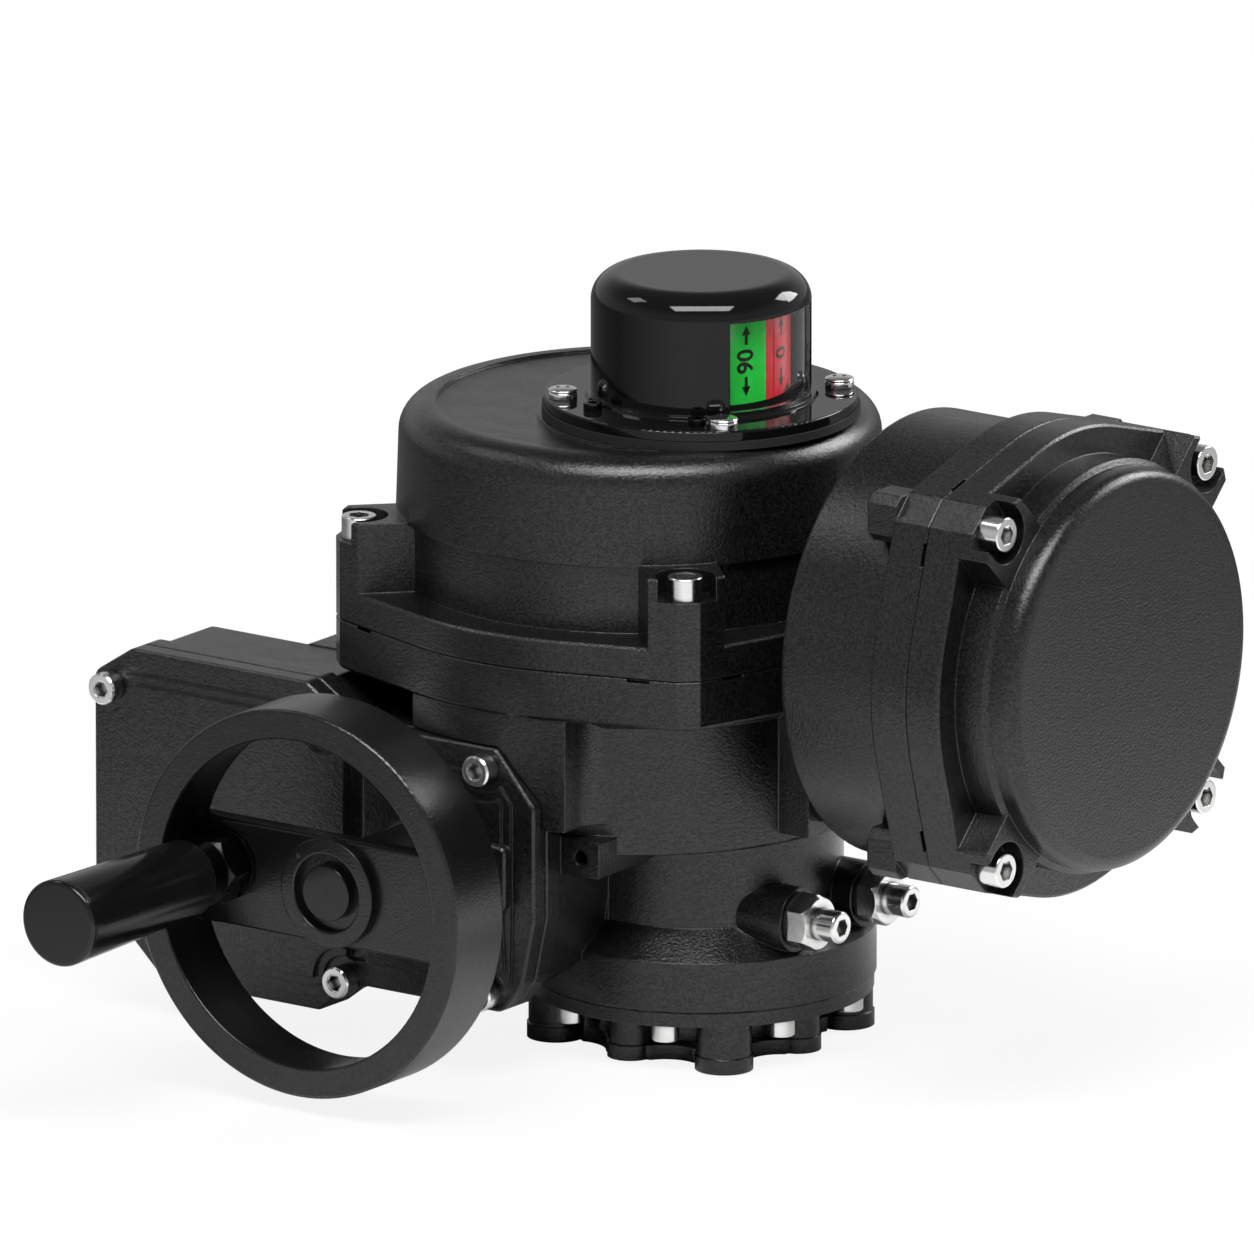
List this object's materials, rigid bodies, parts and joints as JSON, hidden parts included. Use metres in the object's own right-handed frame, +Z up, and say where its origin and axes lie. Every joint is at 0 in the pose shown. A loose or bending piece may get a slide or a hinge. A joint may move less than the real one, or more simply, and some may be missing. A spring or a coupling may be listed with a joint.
{
  "type": "quarter-turn valve actuator",
  "caption": "Electric quarter-turn valve actuator: round housing on a studded base, side gear case with crank handwheel, round terminal compartment, domed position indicator.",
  "frame": {"origin": "on the output axis, in the plane of the mounting face under the base", "axes": "+Z up along the output axis, +X towards the terminal compartment, -Y towards the handwheel"},
  "size_m": [0.4585, 0.4191, 0.334],
  "materials": {
    "black_casting": "black powder coat with a fine orange-peel texture",
    "bright_screws": "bright stainless steel",
    "black_screws": "blackened steel",
    "machined_steel": "turned and ground steel",
    "bronze": "cast bronze, machined",
    "seal_rubber": "matt black rubber",
    "dome_plastic": "polished black plastic",
    "clear_window": "clear polished plastic",
    "drum_plastic": "printed plastic, green on one half and red on the other",
    "switch_plastic": "moulded dark plastic",
    "black_plastic": "satin black plastic",
    "bracket_aluminium": "plain sheet and turned aluminium",
    "board": "green circuit board",
    "motor_steel": "laminated steel under clear varnish"
  },
  "bodies": {
    "actuator": {"base_plate": "black_casting", "base_plate_screws": "bright_screws", "gear_housing": "black_casting", "base_bush": "bronze", "output_seal": "seal_rubber", "thrust_washer": "bronze", "spindle_bush": "bronze", "limit_switches": "switch_plastic", "switch_bracket": "bracket_aluminium", "control_board": "board", "top_cover": "black_casting", "top_cover_bolts": "bright_screws", "top_cover_seal": "seal_rubber", "indicator_trim": "seal_rubber", "indicator_dome": "dome_plastic", "indicator_window": "clear_window", "indicator_screws": "bright_screws", "indicator_set_screws": "black_screws", "case_cover": "black_casting", "case_gasket": "seal_rubber", "case_cover_screws": "bright_screws", "shaft_seal": "seal_rubber", "worm_bearings": "machined_steel", "gallery_plug": "machined_steel", "motor_stator": "motor_steel", "motor_capacitor": "bracket_aluminium", "terminal_housing": "black_casting", "entry_plugs": "black_plastic", "terminal_fix_screws": "bright_screws", "terminal_block": "switch_plastic", "terminal_cover": "black_casting", "terminal_cover_bolts": "bright_screws", "terminal_cover_seal": "seal_rubber", "stop_screws": "bright_screws", "stop_nuts": "bright_screws", "stop_washers": "seal_rubber"},
    "output": {"drive_sleeve": "machined_steel", "stop_cam": "machined_steel", "worm_wheel": "bronze", "wheel_nut": "machined_steel", "indicator_shaft": "machined_steel", "switch_cams": "machined_steel", "position_drum": "drum_plastic", "drum_clamp": "machined_steel"},
    "crank": {"worm_shaft": "machined_steel", "drive_gear": "machined_steel", "handwheel": "black_casting", "hub_ring": "black_casting", "hub_cap": "black_plastic", "handle_washer": "black_screws", "handle_collar": "black_screws", "handle_stud": "machined_steel"},
    "grip": {"handle_grip": "black_plastic", "grip_cap": "black_plastic"},
    "rotor": {"motor_rotor": "motor_steel", "motor_pinion": "machined_steel"}
  },
  "joints": [
    {"name": "handwheel_turn", "type": "hinge", "parent": "actuator", "child": "crank", "pos_m": [-0.062, -0.18, 0.091], "axis": [0, 1, 0], "range_deg": [-2070, 2070]},
    {"name": "output_turn", "type": "hinge", "parent": "actuator", "child": "output", "pos_m": [0, 0, 0.05], "axis": [0, 0, 1], "range_deg": [-45, 45]},
    {"name": "motor_turn", "type": "hinge", "parent": "actuator", "child": "rotor", "pos_m": [-0.13, -0.05, 0.091], "axis": [0, 1, 0], "range_deg": [-4330, 4330]},
    {"name": "grip_spin", "type": "hinge", "parent": "crank", "child": "grip", "pos_m": [-0.1175, -0.25, 0.0945], "axis": [0, 1, 0], "continuous": true}
  ],
  "couplings": [
    {"joint": "output_turn", "follows": "handwheel_turn", "ratio": 0.021739},
    {"joint": "motor_turn", "follows": "handwheel_turn", "ratio": -2.0909}
  ]
}
